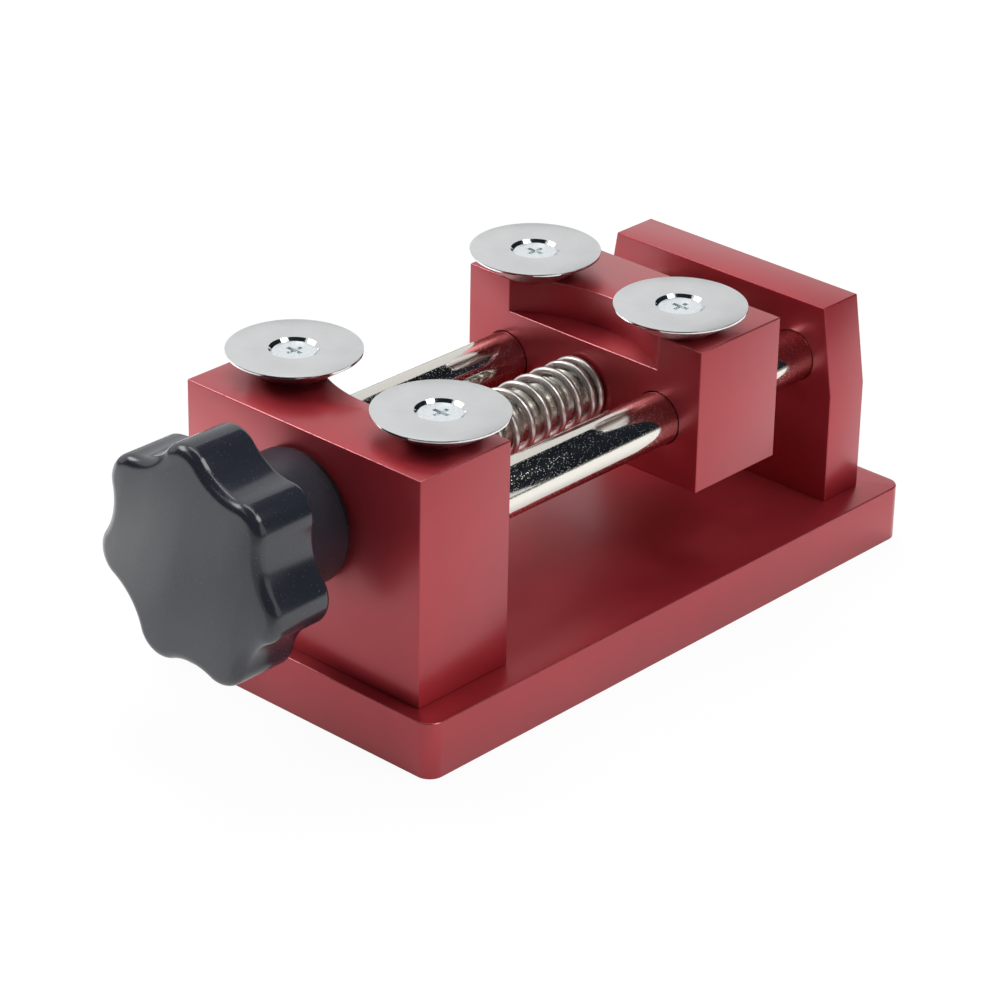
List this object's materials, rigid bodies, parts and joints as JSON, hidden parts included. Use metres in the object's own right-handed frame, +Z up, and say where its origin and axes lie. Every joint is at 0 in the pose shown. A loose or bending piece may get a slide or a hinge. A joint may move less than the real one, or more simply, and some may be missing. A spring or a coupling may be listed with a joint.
{
  "type": "watch case opener",
  "caption": "Small screw vice that opens watches: a lobed knob drives a sliding jaw on guide rods, and sharp-rimmed discs on both jaws grip the case edge.",
  "frame": {"origin": "centre of the base plate's underside", "axes": "+X from the knob end to the rear plate along the closing screw, +Z up, +Y to the left seen from the knob"},
  "size_m": [0.1546, 0.068, 0.0604],
  "materials": {
    "red_anodised": "bead blasted, red anodised, satin",
    "nickel_plate": "bright nickel plate",
    "spring_steel": "satin nickel plate",
    "screw_steel": "plated steel",
    "disc_steel": "fine turned, satin",
    "zinc_plate": "bluish zinc plate",
    "black_oxide": "black oxide",
    "bearing_bronze": "plain turned",
    "black_plastic": "gloss black moulding"
  },
  "bodies": {
    "vice_frame": {"base_plate": "red_anodised", "fixed_jaw": "red_anodised", "rear_plate": "red_anodised", "guide_rod_left": "nickel_plate", "guide_rod_right": "nickel_plate", "screw_bush": "bearing_bronze", "thrust_washer": "black_oxide", "return_spring": "spring_steel", "fixed_disc_left": "disc_steel", "fixed_disc_right": "disc_steel", "fixed_disc_screws": "zinc_plate", "fixed_jaw_screws": "black_oxide", "rear_plate_screws": "black_oxide"},
    "jaw_carriage": {"moving_jaw": "red_anodised", "moving_disc_left": "disc_steel", "moving_disc_right": "disc_steel", "moving_disc_screws": "zinc_plate", "jaw_bush_left": "bearing_bronze", "jaw_bush_right": "bearing_bronze", "lead_nut": "bearing_bronze"},
    "knob_and_screw": {"star_knob": "black_plastic", "knob_insert": "bearing_bronze", "lead_screw": "screw_steel"}
  },
  "joints": [
    {"name": "jaw_slide", "type": "slide", "parent": "vice_frame", "child": "jaw_carriage", "axis": [1, 0, 0], "range_m": [-0.028, 0.013], "deforming": ["return_spring"]},
    {"name": "knob_turn", "type": "hinge", "parent": "vice_frame", "child": "knob_and_screw", "pos_m": [-0.062, 0, 0.0384], "axis": [1, 0, 0], "range_deg": [-3120, 6720]}
  ],
  "couplings": [
    {"joint": "knob_turn", "follows": "jaw_slide", "rad_per_m": -4188.8}
  ]
}
